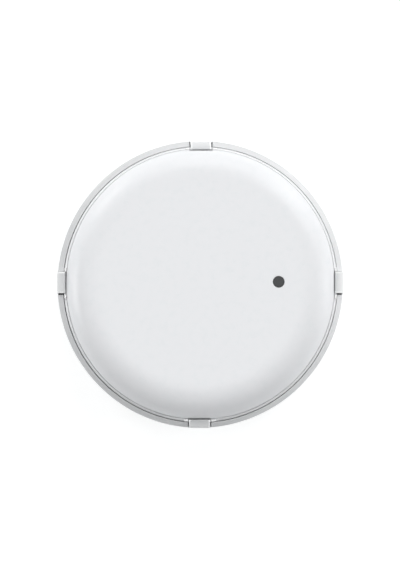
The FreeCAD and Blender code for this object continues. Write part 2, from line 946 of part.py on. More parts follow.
def make_chips():
    box("bluetooth_chip", "chip_x", "chip_y", "board_front", "chip_side", "chip_side", "chip_height")
    box("main_crystal", "crystal_x", "crystal_y", "board_front", "crystal_length", "crystal_width", "crystal_height")
    box("clock_crystal", "clock_x", "clock_y", "board_front", "clock_length", "clock_width", "clock_height")
    box("motion_sensor", "sensor_x", "sensor_y", "board_front", "sensor_side", "sensor_side", "sensor_height")
    box("status_led", "window_x", "side_clip_offset", "board_front", "led_length", "led_width", "led_height")
    box("bulk_capacitor", "bulk_x", "bulk_y", "board_front", "bulk_length", "bulk_width", "bulk_height")
    box(
        "power_inductor",
        "inductor_x",
        "inductor_y",
        "board_front",
        "inductor_length",
        "inductor_width",
        "inductor_height",
    )


def make_small_chips(name, count, x, y):
    """Row of like two-ended chips, side by side along X."""
    row = [
        box(
            f"{name}_{number + 1}",
            f"({x} + {number} * small_pitch)",
            y,
            "board_front",
            "small_width",
            "small_length",
            "small_height",
        )
        for number in range(count)
    ]
    return group(name, row)


def make_antenna():
    """Copper line that goes up and down across the board's edge, one pitch for each turn."""
    body = new_body("antenna_trace")
    sketch = new_sketch(body, "XY", "meander", "board_front")
    top = "(antenna_y + antenna_height)"
    bars = [f"(antenna_x + {number} * antenna_pitch / 2)" for number in range(2 * antenna_turns + 1)]
    lower = [(f"{bars[0]} - antenna_line / 2", "antenna_y")]
    upper = [(f"{bars[0]} - antenna_line / 2", top)]
    for number, (bar, following) in enumerate(zip(bars, bars[1:])):
        right = f"{bar} + antenna_line / 2"
        left = f"{following} - antenna_line / 2"
        if number % 2 == 0:
            inner = f"{top} - antenna_line"
            lower += [(right, "antenna_y"), (right, inner), (left, inner), (left, "antenna_y")]
        else:
            inner = "antenna_y + antenna_line"
            upper += [(right, top), (right, inner), (left, inner), (left, top)]
    end = f"{bars[-1]} + antenna_line / 2"
    outline(sketch, lower + [(end, "antenna_y"), (end, top)] + upper[::-1])
    raised(body, sketch, "copper")
    return body


def make_test_pads():
    pads = [
        cylinder(
            f"test_pad_{number + 1}",
            f"test_pad_x + {number} * test_pad_pitch",
            "test_pad_y",
            "board_front",
            "test_pad_radius",
            "copper",
        )
        for number in range(test_pad_count)
    ]
    return group("test_pads", pads)


# Tact switch: moulded base with a well, snap dome in it, plunger, and steel cover plate


def make_switch(name):
    x, y = f"{name}_switch_x", f"{name}_switch_y"
    base = box(f"{name}_base_block", x, y, "board_front", "switch_side", "switch_side", "switch_base")
    well = cylinder(f"{name}_well", x, y, "well_bottom", "well_radius", "switch_base")
    cut(f"{name}_switch_base", base, well)

    plate = box(f"{name}_plate", x, y, "switch_top", "switch_side", "switch_side", "switch_cover")
    hole = cylinder(f"{name}_hole", x, y, "flange_top", "button_radius + button_gap", "2 * switch_cover")
    cut(f"{name}_switch_cover", plate, hole)

    dome = new_body(f"{name}_switch_dome")
    turned(
        dome,
        "dome",
        [
            ("0", "snap_top - snap_metal"),
            ("snap_flat_radius", "snap_top - snap_metal"),
            ("snap_radius - snap_metal", "well_bottom"),
            ("snap_radius", "well_bottom"),
            ("snap_flat_radius", "snap_top"),
            ("0", "snap_top"),
        ],
    )
    place(dome, x, y)

    button = new_body(f"{name}_button")
    turned(
        button,
        "plunger",
        [
            ("0", "flange_bottom"),
            ("button_flange_radius", "flange_bottom"),
            ("button_flange_radius", "flange_top"),
            ("button_radius", "flange_top"),
            ("button_radius", "cover_top + button_proud - button_edge"),
            ("button_radius - button_edge", "cover_top + button_proud"),
            ("0", "cover_top + button_proud"),
        ],
    )
    place(button, x, y)


make_cradle()
for station, (across, up) in stations.items():
    make_clip(f"snap_clip_{station}", across, up)
cylinder("adhesive_pad", "0", "0", "0", "pad_radius", "pad_thickness")
make_rear_shell()
make_cover()
make_seal()
make_light_pipe()
make_board()
make_board_screws()
make_cell()
make_holder()
make_positive_contact()
make_negative_contact()
make_chips()
make_small_chips("capacitors", capacitor_count, "capacitor_x", "capacitor_y")
make_small_chips("resistors", resistor_count, "resistor_x", "resistor_y")
make_antenna()
make_test_pads()
make_switch("mode")
make_switch("reset")
doc.recompute()

pieces = [
    "mount_cradle",
    "snap_clip_top",
    "snap_clip_right",
    "snap_clip_bottom",
    "snap_clip_left",
    "adhesive_pad",
    "rear_shell",
    "front_cover",
    "seal_ring",
    "light_pipe",
    "circuit_board",
    "board_screws",
    "battery_holder",
    "positive_contact",
    "negative_contact",
    "battery_can",
    "battery_gasket",
    "battery_cap",
    "bluetooth_chip",
    "antenna_trace",
    "main_crystal",
    "clock_crystal",
    "status_led",
    "motion_sensor",
    "bulk_capacitor",
    "power_inductor",
    "capacitors",
    "resistors",
    "test_pads",
    "mode_switch_base",
    "mode_switch_cover",
    "mode_switch_dome",
    "mode_button",
    "reset_switch_base",
    "reset_switch_cover",
    "reset_switch_dome",
    "reset_button",
]

failed = [thing.Name for thing in doc.Objects if {"Invalid", "Error"} & set(thing.State)]
if failed:
    raise ValueError(f"not built: {failed}")
for name in pieces:
    shape = doc.getObject(name).Shape
    if shape.isNull() or not shape.isValid() or not shape.Solids:
        raise ValueError(f"{name} is not a good solid")

os.makedirs("parts", exist_ok=True)
for name in pieces:
    piece = doc.getObject(name)
    piece.Shape.exportStep(f"parts/{piece.Label}.step")
    bounds = piece.Shape.BoundBox
    print(
        f"{piece.Label}: {len(piece.Shape.Solids)} solid, {piece.Shape.Volume:.2f} mm3,"
        f" z {bounds.ZMin:.2f} to {bounds.ZMax:.2f}"
    )
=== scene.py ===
import math

import bmesh
import bpy
from mathutils import Matrix, Vector


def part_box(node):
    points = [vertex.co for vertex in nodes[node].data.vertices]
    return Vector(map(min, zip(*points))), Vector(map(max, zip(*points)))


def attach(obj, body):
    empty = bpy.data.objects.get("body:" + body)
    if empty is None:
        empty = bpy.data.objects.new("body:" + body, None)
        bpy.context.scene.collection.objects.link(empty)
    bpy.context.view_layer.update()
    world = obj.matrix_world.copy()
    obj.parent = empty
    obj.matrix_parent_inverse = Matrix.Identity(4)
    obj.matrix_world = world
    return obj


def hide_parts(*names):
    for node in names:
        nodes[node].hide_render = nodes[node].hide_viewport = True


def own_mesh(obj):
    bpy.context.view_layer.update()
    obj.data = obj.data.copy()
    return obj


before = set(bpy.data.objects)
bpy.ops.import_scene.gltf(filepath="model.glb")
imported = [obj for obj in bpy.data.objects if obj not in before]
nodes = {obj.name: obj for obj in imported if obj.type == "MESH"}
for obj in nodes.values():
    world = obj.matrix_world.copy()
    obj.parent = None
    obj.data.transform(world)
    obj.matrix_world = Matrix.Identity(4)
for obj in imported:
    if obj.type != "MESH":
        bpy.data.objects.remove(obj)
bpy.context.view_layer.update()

# Round beacon tag in its wall cradle, seen from straight in front.
# The face looks up +Z, the clips sit at +X, +Y, -X and -Y, and profiles below are in millimetres.

mm = 0.001
stations = {"right": 0, "top": 90, "left": 180, "bottom": 270}  # the clips, in degrees from +X
notchWidth = 4.25
offMiddle = {"right": 0.14, "top": -0.14, "left": -0.14, "bottom": -0.14}  # of each notch, along its side
longAxis = math.radians(74)  # the mouldings are a tenth of a millimetre out of round, longest toward here
ovalFrom = {"cover": 24, "shell": 24.2, "bore": 24.9, "cradle": 25.5}  # walls inside these radii are round
cellX = -6.5  # middle of the coin cell
screwTurns = [2 * math.pi * k / 3 for k in range(3)]
screwSpots = [(19.5 * math.cos(turn), 19.5 * math.sin(turn)) for turn in screwTurns]


def highest(node):
    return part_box(node)[1].z / mm


def lowest(node):
    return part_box(node)[0].z / mm


def corners(node):
    """lowest and highest corner of a node in mm"""
    low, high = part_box(node)
    return Vector(low) / mm, Vector(high) / mm


print("frame:", len(nodes), "nodes")


# ---- mesh helpers


def newPiece(name, data):
    piece = bpy.data.objects.new(name, data)
    bpy.context.scene.collection.objects.link(piece)
    return piece


def meshFrom(bm, name, sharp=32):
    """bmesh to mesh, smooth but for edges sharper than the angle"""
    bmesh.ops.recalc_face_normals(bm, faces=bm.faces)
    mesh = bpy.data.meshes.new(name)
    bm.to_mesh(mesh)
    bm.free()
    mesh.shade_smooth()
    mesh.set_sharp_from_angle(angle=math.radians(sharp))
    return mesh


def placed(name, bm, materials, body, node, sharp=35):
    """a finished piece that stands for a CAD node"""
    piece = newPiece(name, meshFrom(bm, name, sharp))
    for material in materials:
        piece.data.materials.append(material)
    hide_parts(node)
    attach(piece, body)
    return piece


def softened(points, steps=5):
    """points are (r, z) or (r, z, round); each round becomes an arc"""
    path = []
    for i, point in enumerate(points):
        here = Vector(point[:2])
        radius = point[2] if len(point) > 2 else 0
        if not radius:
            path.append(here)
            continue
        before = (Vector(points[i - 1][:2]) - here).normalized()
        after = (Vector(points[(i + 1) % len(points)][:2]) - here).normalized()
        half = before.angle(after) / 2
        reach = radius / math.tan(half)
        middle = here + (before + after).normalized() * (radius / math.sin(half))
        start, end = here + before * reach - middle, here + after * reach - middle
        turn = start.angle_signed(end)
        for k in range(steps + 1):
            path.append(middle + Matrix.Rotation(-turn * k / steps, 2) @ start)
    return path


def arcBetween(start, end, middle, steps):
    """points on the arc about middle, ends left out"""
    a = math.atan2(start[1] - middle[1], start[0] - middle[0])
    b = math.atan2(end[1] - middle[1], end[0] - middle[0])
    radius = math.dist(start, middle)
    path = []
    for k in range(1, steps):
        turn = a + (b - a) * k / steps
        path.append((middle[0] + radius * math.cos(turn), middle[1] + radius * math.sin(turn)))
    return path


def revolved(path, segments=288, at=(0, 0), oval=None):
    """closed profile of (r, z) turned about an upright axis; at may be a function of (r, z).
    oval is one too, and says how far a point is out of round, outward on the long axis"""
    bm = bmesh.new()
    turns = [2 * math.pi * k / segments for k in range(segments)]
    rings = []
    for r, z in path:
        x, y = at(r, z) if callable(at) else at
        if r < 1e-6:
            rings.append([bm.verts.new((x * mm, y * mm, z * mm))])
            continue
        spread = oval(r, z) if oval else 0
        ring = []
        for t in turns:
            reach = r + spread * math.cos(2 * t - 2 * longAxis)
            ring.append(bm.verts.new(((x + reach * math.cos(t)) * mm, (y + reach * math.sin(t)) * mm, z * mm)))
        rings.append(ring)
    for i, ring in enumerate(rings):
        other = rings[(i + 1) % len(rings)]
        if len(ring) == 1 and len(other) == 1:
            continue
        for k in range(segments):
            n = (k + 1) % segments
            if len(ring) == 1:
                bm.faces.new((ring[0], other[n], other[k]))
            elif len(other) == 1:
                bm.faces.new((ring[k], ring[n], other[0]))
            else:
                bm.faces.new((ring[k], ring[n], other[n], other[k]))
    return bm


def tube(inner, outer, low, high, segments, at=(0, 0)):
    """upright tube, or a plug where the inner radius is 0"""
    return revolved([(inner, low), (outer, low), (outer, high), (inner, high)], segments, at)


def boxed(low, high, turn=0, bevel=0, steps=2):
    """block between two corners, its edges rounded, turned about Z"""
    bm = bmesh.new()
    bmesh.ops.create_cube(bm, size=1)
    size = Vector(high) - Vector(low)
    middle = (Vector(high) + Vector(low)) / 2
    bmesh.ops.scale(bm, vec=size * mm, verts=bm.verts)
    bmesh.ops.translate(bm, vec=middle * mm, verts=bm.verts)
    if bevel:
        bmesh.ops.bevel(bm, geom=bm.edges[:], offset=bevel * mm, segments=steps, profile=0.5, affect="EDGES")
    bmesh.ops.rotate(bm, matrix=Matrix.Rotation(math.radians(turn), 3, "Z"), verts=bm.verts)
    return bm


def joined(*parts):
    """several bmeshes in one"""
    whole = bmesh.new()
    for part in parts:
        mesh = bpy.data.meshes.new("part")
        part.to_mesh(mesh)
        part.free()
        whole.from_mesh(mesh)
        bpy.data.meshes.remove(mesh)
    return whole


def carved(bm, tools, how="DIFFERENCE"):
    """boolean of one bmesh with others, as a new bmesh"""
    first, second = bpy.data.meshes.new("first"), bpy.data.meshes.new("second")
    bmesh.ops.recalc_face_normals(bm, faces=bm.faces)
    bm.to_mesh(first)
    bm.free()
    tool = joined(*tools)
    bmesh.ops.recalc_face_normals(tool, faces=tool.faces)
    tool.to_mesh(second)
    tool.free()
    a, b = newPiece("first", first), newPiece("second", second)
    modifier = a.modifiers.new("cut", "BOOLEAN")
    modifier.operation = how
    modifier.solver = "EXACT"
    modifier.object = b
    baked = bpy.data.meshes.new_from_object(a.evaluated_get(bpy.context.evaluated_depsgraph_get()))
    result = bmesh.new()
    result.from_mesh(baked)
    for thing in (a, b):
        bpy.data.objects.remove(thing)
    for mesh in (first, second, baked):
        bpy.data.meshes.remove(mesh)
    return result


def crossed(reach, half, low, high, at=(0, 0)):
    """two upright bars that cross, as one body"""
    x, y = at
    bars = [boxed((x - a, y - b, low), (x + a, y + b, high)) for a, b in ((reach, half), (half, reach))]
    return carved(bars[0], [bars[1]], "UNION")


def atStations(inside, outside, width, low, high):
    """a block at each clip, from one radius to another; a size can differ by clip"""
    blocks = []
    for name, turn in stations.items():
        start, end, bottom = (size[name] if isinstance(size, dict) else size for size in (inside, outside, low))
        lift = offMiddle[name]
        blocks.append(boxed((start, lift - width / 2, bottom), (end, lift + width / 2, high), turn))
    return blocks


def toned(bm, tone):
    """all faces of a bmesh take the same material slot"""
    for face in bm.faces:
        face.material_index = tone
    return bm


# ---- material helpers

wavePeriod = 0.314  # a wave texture of scale 1 repeats after this length


def linear(code):
    """sRGB hex to the linear colour that a socket takes"""
    parts = [int(code[i : i + 2], 16) / 255 for i in (1, 3, 5)]
    return tuple(p / 12.92 if p <= 0.04045 else ((p + 0.055) / 1.055) ** 2.4 for p in parts) + (1.0,)


def addNode(tree, kind, links=(), values=(), **settings):
    """a node with its settings; a link is (input, node, output) and a value is (input, setting)"""
    node = tree.nodes.new(kind)
    for name, setting in settings.items():
        if hasattr(node, name):
            setattr(node, name, setting)
        else:
            node.inputs[name.replace("_", " ")].default_value = setting
    for socket, source, output in links:
        tree.links.new(source.outputs[output], node.inputs[socket])
    for socket, setting in values:
        node.inputs[socket].default_value = setting
    return node


def remapped(tree, source, output, given, wanted=(0, 1)):
    """a value of one range brought to another"""
    ends = {"From_Min": given[0], "From_Max": given[1], "To_Min": wanted[0], "To_Max": wanted[1]}
    return addNode(tree, "ShaderNodeMapRange", [("Value", source, output)], **ends)


def bumped(tree, shader, source, output, strength, depth):
    """a texture raised on the surface, its depth in mm"""
    bump = addNode(tree, "ShaderNodeBump", [("Height", source, output)], Strength=strength, Distance=depth * mm)
    tree.links.new(bump.outputs["Normal"], shader.inputs["Normal"])


def newMaterial(name, **settings):
    """a material and its Principled shader with plain values on the sockets"""
    material = bpy.data.materials.new(name)
    material.use_nodes = True
    tree = material.node_tree
    shader = tree.nodes["Principled BSDF"]
    for socket, setting in settings.items():
        shader.inputs[socket.replace("_", " ")].default_value = setting
    return material, tree, shader


def grainOf(tree, shader, size, depth, strength, colours, roughness):
    """even fine texture from one noise: bump, a little roughness and a little colour; size and depth in mm"""
    where = addNode(tree, "ShaderNodeTexCoord")
    point = [("Vector", where, "Object")]
    fine = addNode(tree, "ShaderNodeTexNoise", point, Scale=1 / (size * mm), Detail=4.0, Roughness=0.6)
    # clouds twelve grains across, so that the colour isn't as even as the bump
    broad = addNode(tree, "ShaderNodeTexNoise", point, Scale=1 / (12 * size * mm), Detail=2.0)
    both = addNode(tree, "ShaderNodeMath", [(0, fine, "Fac"), (1, broad, "Fac")], operation="ADD")
    bumped(tree, shader, fine, "Fac", strength, depth)
    tint = addNode(tree, "ShaderNodeValToRGB", [("Fac", both, "Value")])
    for stop, position, colour in zip(tint.color_ramp.elements, (0.75, 1.0), colours):
        stop.position, stop.color = position, linear(colour)
    tree.links.new(tint.outputs["Color"], shader.inputs["Base Color"])
    sheen = remapped(tree, both, "Value", (0.7, 1.3), roughness)
    tree.links.new(sheen.outputs["Result"], shader.inputs["Roughness"])
    return where


def grained(name, size, depth, strength, colours, roughness, **settings):
    """a material that has nothing but its grain"""
    material, tree, shader = newMaterial(name, **settings)
    grainOf(tree, shader, size, depth, strength, colours, roughness)
    return material


def dress(node, material):
    """a carried-over CAD node gets a material in every slot"""
    thing = nodes[node]
    if not thing.material_slots:
        thing.data.materials.append(material)
    for slot in thing.material_slots:
        slot.link = "OBJECT"
        slot.material = material


# ---- stage: camera, floor and light

picture = {"width": 400, "height": 570}
view = {
    "middle": (0.0, 0.0, 9.0),  # on the outline of the ring
    "scale": 0.1816,  # millimetres to a pixel there
    "centre": (200.28, 284.0),
    "lens": 300.0,
    "sensor": 36.0,
    "tilt": 2.8,  # the camera stands this many degrees below the axis
    "aside": 0.8,  # and this many toward -X
}

camera = newPiece("camera", bpy.data.cameras.new("camera"))
bpy.context.scene.camera = camera
camera.data.lens = view["lens"]
camera.data.sensor_fit = "AUTO"
camera.data.sensor_width = view["sensor"]
distance = view["lens"] * view["scale"] * picture["height"] / view["sensor"]
tilt, aside = math.radians(view["tilt"]), math.radians(view["aside"])
away = Vector((-math.sin(aside), -math.sin(tilt), 0))
away.z = math.sqrt(1 - away.length_squared)
camera.location = (Vector(view["middle"]) + away * distance) * mm
side = Vector((1, 0, 0)) - away * away.x
side.normalize()
up = away.cross(side)
camera.matrix_world = Matrix.Translation(camera.location) @ Matrix((side, up, away)).transposed().to_4x4()
camera.data.shift_x = (picture["width"] / 2 - view["centre"][0]) / picture["height"]
camera.data.shift_y = (view["centre"][1] - picture["height"] / 2) / picture["height"]
camera.data.clip_start, camera.data.clip_end = 0.01, 20

paper = {
    "size": 6.0,  # metres
    "glow": 0.72,
    "colours": ("#a6a8a8", "#a9abab"),
    "below": 0.02,
}

floorMesh = bmesh.new()
bmesh.ops.create_grid(floorMesh, x_segments=24, y_segments=24, size=paper["size"] / 2)
bmesh.ops.translate(floorMesh, vec=(0, 0, -paper["below"] * mm), verts=floorMesh.verts)
floor = newPiece("floor", meshFrom(floorMesh, "floor"))
floor.data.flip_normals()
# coated white paper, lit from within as well, so that it stays even and white round the object
material, tree, shader = newMaterial("whitePaper", Emission_Color=linear("#ffffff"), Emission_Strength=paper["glow"])
grainOf(tree, shader, 0.4, 0.02, 0.15, paper["colours"], (0.85, 0.95))
# seen from behind the paper is clear, so that the back of the object shows from below
behind = addNode(tree, "ShaderNodeNewGeometry")
clear = addNode(tree, "ShaderNodeBsdfTransparent")
either = addNode(tree, "ShaderNodeMixShader", [(0, behind, "Backfacing"), (1, shader, "BSDF"), (2, clear, "BSDF")])
tree.links.new(either.outputs["Shader"], tree.nodes["Material Output"].inputs["Surface"])
floor.data.materials.append(material)

lights = {
    "reach": 1.2,  # metres, as is the size
    "size": 0.51,
    "sky": 0.135,
    "under": 0.8,  # sky below the paper, which hides it from everything in front
}
# round soft boxes in tiers, nearly all over the top half of the picture: the light comes from +Y.
# A tier has its angle above the paper, and a radiance for each angle from +X toward +Y.
tiers = {
    "low": (18, {0: 3.87, 45: 3.3, 90: 1.07, 135: 4.3, 180: 5.0}),
    "middle": (42, {0: 2.27, 45: 3.82, 90: 2.66, 135: 1.58}),
    "high": (66, {0: 1.06, 180: 1.43, 300: 0.85}),
    "overhead": (90, {0: 3.22}),
}
world = bpy.data.worlds.new("studio")
bpy.context.scene.world = world
world.use_nodes = True
sky = world.node_tree.nodes["Background"]
sky.inputs["Color"].default_value = linear("#fbfdff")
direction = addNode(world.node_tree, "ShaderNodeTexCoord")
height = addNode(world.node_tree, "ShaderNodeSeparateXYZ", [("Vector", direction, "Generated")])
strength = remapped(world.node_tree, height, "Z", (-0.3, -0.1), (lights["under"], lights["sky"]))
world.node_tree.links.new(strength.outputs["Result"], sky.inputs["Strength"])

for tier, (climb, lamps) in tiers.items():
    flatReach, rise = math.cos(math.radians(climb)), math.sin(math.radians(climb))
    for around, radiance in lamps.items():
        lamp = bpy.data.lights.new(tier + str(around), "AREA")
        lamp.shape = "DISK"
        lamp.size = lights["size"]
        lamp.energy = radiance * math.pi * math.pi * lamp.size**2 / 4  # radiance 1 gives pi watts a square metre
        stand = newPiece(lamp.name, lamp)
        turn = math.radians(around)
        toward = Vector((math.cos(turn) * flatReach, math.sin(turn) * flatReach, rise))
        stand.location = toward * lights["reach"]
        stand.rotation_mode = "QUATERNION"
        stand.rotation_quaternion = toward.to_track_quat("Z", "Y")
        stand.visible_camera = False
bpy.context.scene.view_settings.view_transform = "Standard"
bpy.context.scene.view_settings.look = "None"
print("stage: camera at", round(distance), "mm")


# ---- moulded ABS shells

# ABS, injection moulded with a fine spark-eroded grain: a soft sheen, no sharp mirror; white pigment, a touch cool
coverAbs = grained("mouldedAbsCover", 0.12, 0.004, 0.25, ("#e7e9eb", "#eaebed"), (0.31, 0.37), IOR=1.52)

# the shell is the same ABS, from another cavity of the mould
shellAbs = grained("mouldedAbsShell", 0.12, 0.004, 0.25, ("#e8e9ea", "#edeeef"), (0.32, 0.40), IOR=1.52)

# the posts of the shell, with painted light: near white, brighter than the shell though the dome shades them
paintedLightPosts = grained("paintedLightAbsPosts", 0.1, 0.002, 0.2, ("#fafafa", "#fdfdfd"), (0.24, 0.32), IOR=1.52)


def paintedLightAcross(tree, shader, turn, low, high):
    """painted light and shade: base colour is scaled from low to high across the part, toward the angle"""
    where = addNode(tree, "ShaderNodeTexCoord")
    axis = (math.cos(math.radians(turn)), math.sin(math.radians(turn)), 0)
    along = addNode(tree, "ShaderNodeVectorMath", [(0, where, "Object")], [(1, axis)], operation="DOT_PRODUCT")
    ramp = remapped(tree, along, "Value", (-26 * mm, 26 * mm), (low, high))
    before = shader.inputs["Base Color"].links[0].from_socket
    scaled = addNode(tree, "ShaderNodeVectorMath", [("Scale", ramp, "Result")], operation="SCALE")
    tree.links.new(before, scaled.inputs[0])
    tree.links.new(scaled.outputs["Vector"], shader.inputs["Base Color"])


# the cradle is ABS with recycled stock in it: a little greyer and flatter; painted light and shade across it,
# lighter toward +X and darker toward -X, as the light falls
cradleAbs, tree, shader = newMaterial("mouldedAbsCradle", IOR=1.52)
grainOf(tree, shader, 0.14, 0.006, 0.35, ("#d8dadb", "#dddedf"), (0.40, 0.50))
paintedLightAcross(tree, shader, 8, 0.88, 1.06)

# the clips: the same ABS with painted shade toward the hooking tip, where the dome shades it, and painted light
# toward the outside; each clip has its own pair of tones by how the light from +Y falls on it, the lower one the
# darkest
clipLightAndShade = {
    "right": ("#d5d7d8", "#f6f7f7"),
    "top": ("#d2d4d5", "#ecedee"),
    "left": ("#cccecf", "#e9eaea"),
    "bottom": ("#b4b6b7", "#ebecec"),
}
clipAbs = {}
for name, (shadedTip, litOutside) in clipLightAndShade.items():
    clipAbs[name], tree, shader = newMaterial("mouldedAbsClip" + name.capitalize(), IOR=1.52)
    where = grainOf(tree, shader, 0.14, 0.006, 0.35, ("#dadcdd", "#dfe0e1"), (0.40, 0.50))
    level = [(1, (1.0, 1.0, 0.0))]
    flattened = addNode(tree, "ShaderNodeVectorMath", [(0, where, "Object")], level, operation="MULTIPLY")
    apart = addNode(tree, "ShaderNodeVectorMath", [(0, flattened, "Vector")], operation="LENGTH")
    outward = remapped(tree, apart, "Value", (24.5 * mm, 26.0 * mm))  # from the tip to the outside
    tones = [(6, linear(shadedTip)), (7, linear(litOutside))]
    # painted shade at the tip fading to painted light at the outside
    paintedLight = addNode(tree, "ShaderNodeMix", [(0, outward, "Result")], tones, data_type="RGBA")
    speckle = shader.inputs["Base Color"].links[0].from_node
    both = addNode(tree, "ShaderNodeMix", [(6, paintedLight, "Result"), (7, speckle, "Color")], [(0, 0.2)], data_type="RGBA")
    tree.links.new(both.outputs["Result"], shader.inputs["Base Color"])

# the same ABS at the clips' ends, a shade lighter and smoother: a painted highlight along the rounded ends
clipEndHighlight = grained("paintedHighlightClipEnds", 0.1, 0.002, 0.2, ("#f3f4f5", "#f7f8f8"), (0.24, 0.32), IOR=1.52)


# ---- domed cover

cover = {
    "crown": 12.8,
    "flatRadius": 18.94,
    "domeRadius": 6.9,
    "domeEdge": 9.917,
    "domeSteps": 36,
    "bendStart": 18.2,
    "bend": (0.503, 0.497),  # shares of the drop that start gently and that tighten toward the edge
    "radius": 24.43,
    "edge": 0.9,
    "wall": 1.4,
    "plugRadius": 23.62,
    "plugInside": 22.02,
    "plugBottom": 6.417,
    "chord": {"right": 24.23, "top": 24.16, "left": 24.29, "bottom": 24.4},
    "play": (0.04, -0.05),  # the tag sits this far off the middle of its cradle
    "oval": 0.11,
    "ovalStart": 19,  # the face inside this radius is round
}
groove = {"radius": 22.69, "low": 6.917, "high": 8.217}  # of the seal, round the plug
gusset = {"inside": 20.42, "outside": 22.3, "half": 0.4, "deep": 2.2}
window = {
    "at": (14.13, 0.22),
    "hole": 1.07,
    "bossInside": 1.73,
    "bossOutside": 2.43,
    "bossDeep": 1.1,
    "pipe": 1.04,
    "pipeBottom": 6.2,
    "collar": 1.7,
    "collarThick": 0.5,
}
domeCentre = cover["crown"] - cover["domeRadius"]
shoulder = cover["domeEdge"] - cover["edge"]
vault = cover["domeRadius"] - cover["wall"]
vaultEdge = domeCentre + math.sqrt(vault**2 - (cover["plugInside"] - cover["flatRadius"]) ** 2)
inside = cover["crown"] - cover["wall"]
# rings on the flat keep its shading even
flat = [(r, cover["crown"]) for r in (0, 4, 8, 12, 15, 17, 17.8, cover["bendStart"])]
across = cover["radius"] - cover["bendStart"]
drop = cover["crown"] - cover["domeEdge"]
dome = []
for k in range(1, cover["domeSteps"]):
    t = k / cover["domeSteps"]
    fall = cover["bend"][0] * t**2 + cover["bend"][1] * t**5
    dome.append((cover["bendStart"] + across * t, cover["crown"] - drop * fall))
skirt = softened(
    [
        (cover["radius"], cover["domeEdge"]),
        (cover["radius"], shoulder, 0.06),
        (cover["plugRadius"], shoulder),
        (cover["plugRadius"], shoulder - 0.2),
        (cover["plugRadius"], groove["high"]),
        (groove["radius"], groove["high"]),
        (groove["radius"], groove["low"]),
        (cover["plugRadius"], groove["low"]),
        (cover["plugRadius"], cover["plugBottom"] + 0.25),
        (cover["plugRadius"] - 0.25, cover["plugBottom"]),
        (cover["plugInside"], cover["plugBottom"], 0.15),
        (cover["plugInside"], vaultEdge),
    ],
    4,
)
ceilingEdge = (cover["flatRadius"], inside)
vaultArc = arcBetween((cover["plugInside"], vaultEdge), ceilingEdge, (cover["flatRadius"], domeCentre), 14)
ceiling = [ceilingEdge, (12, inside), (0, inside)]


def coverOval(r, z):
    """grows from the flat to the edge; the plug is round"""
    share = min(max((r - cover["ovalStart"]) / (cover["radius"] - cover["ovalStart"]), 0), 1)
    return cover["oval"] * share if z > shoulder + 0.05 or r > ovalFrom["cover"] else 0


coverBody = revolved([*flat, *dome, *skirt, *vaultArc, *ceiling], at=cover["play"], oval=coverOval)
gussets = []
for k in range(6):
    low = (gusset["inside"], -gusset["half"], inside - gusset["deep"])
    gussets.append(boxed(low, (gusset["outside"], gusset["half"], inside + 0.3), 90 + 60 * k))
bossLow = inside - window["bossDeep"]
boss = tube(window["bossInside"], window["bossOutside"], bossLow, inside + 0.2, 48, window["at"])
coverBody = carved(coverBody, [*gussets, boss], "UNION")
hole = tube(0, window["hole"], 10, 13.5, 64, window["at"])
chords = atStations(cover["chord"], 25.2, notchWidth, shoulder - 0.05, 12)
coverBody = carved(coverBody, [hole, *chords])
placed("domedCover", coverBody, [coverAbs], "cover", "front_cover", 30)
print("cover: shoulder at", round(shoulder, 3))


# ---- window

# polycarbonate, smoked, polished face: a dark neutral grey that still shows a little depth
smoked = grained("smokedPolycarbonate", 0.15, 0.002, 0.2, ("#303133", "#373839"), (0.46, 0.54), IOR=1.585)

windowTop = highest("light_pipe")
windowPath = softened(
    [
        (0, window["pipeBottom"]),
        (window["pipe"], window["pipeBottom"], 0.1),
        (window["pipe"], inside - window["collarThick"]),
        (window["collar"], inside - window["collarThick"]),
        (window["collar"], inside),
        (window["pipe"], inside),
        (window["pipe"], windowTop, 0.08),
        (0, windowTop),
    ]
)
placed("windowPipe", revolved(windowPath, 64, window["at"]), [smoked], "cover", "light_pipe", 32)


# ---- rear shell with its bead and posts

shell = {
    "back": 2.3,
    "floor": 3.5,
    "radius": 24.93,
    "rebate": 24.5,
    "bore": 23.70,
    "lip": 0.5,
    "postInside": {"right": 24.34, "top": 24.44, "left": 24.34, "bottom": 24.56},
    "postRadius": {"right": 24.88, "top": 24.96, "left": 24.87, "bottom": 25.08},
    "postSide": 2.85,  # its far side from the middle of the notch
    "postWidth": 0.86,
    "postBottom": 6.217,
    "slotOutside": {"right": 24.5, "top": 24.48, "left": 24.56, "bottom": 24.66},
    "slotBottom": {"right": 8.8, "top": 8.95, "left": 8.85, "bottom": 6.9},
    "top": highest("rear_shell") - 0.14,  # of the posts, level with the cover's edge
    "root": 3.4,  # inside the floor, where the ribs and bosses start
    "seat": 4.3,  # their top, under the board
}
clipSeat = shoulder + 0.2
shellPath = softened(
    [
        (0, shell["back"]),
        (shell["radius"] - 0.82, shell["back"], 0.2),
        (shell["radius"] - 0.12, shell["back"] + 0.7, 0.4),
        (shell["radius"], shoulder + shell["lip"] - 0.32, 0.12),
        (shell["rebate"], shoulder + shell["lip"], 0.05),
        (shell["rebate"], shoulder - 0.01),
        (shell["bore"], shoulder - 0.01, 0.1),
        (shell["bore"], shell["floor"], 0.2),
        (0, shell["floor"]),
    ]
)
shellBody = revolved(shellPath, at=cover["play"], oval=lambda r, z: cover["oval"] if r > ovalFrom["shell"] else 0)
posts = []
for name, turn in stations.items():
    for sign in (-1, 1):
        y = offMiddle[name] + sign * (shell["postSide"] - shell["postWidth"] / 2)
        outer = math.sqrt(shell["postRadius"][name] ** 2 - shell["postSide"] ** 2)
        low = (shell["postInside"][name], y - shell["postWidth"] / 2, shell["postBottom"])
        post = boxed(low, (outer, y + shell["postWidth"] / 2, shell["top"]), turn, 0.07, 3)
        bmesh.ops.translate(post, vec=Vector((*cover["play"], 0)) * mm, verts=post.verts)
        posts.append(post)
bosses = [tube(0, 2.1, shell["root"], shell["seat"], 48, spot) for spot in screwSpots]
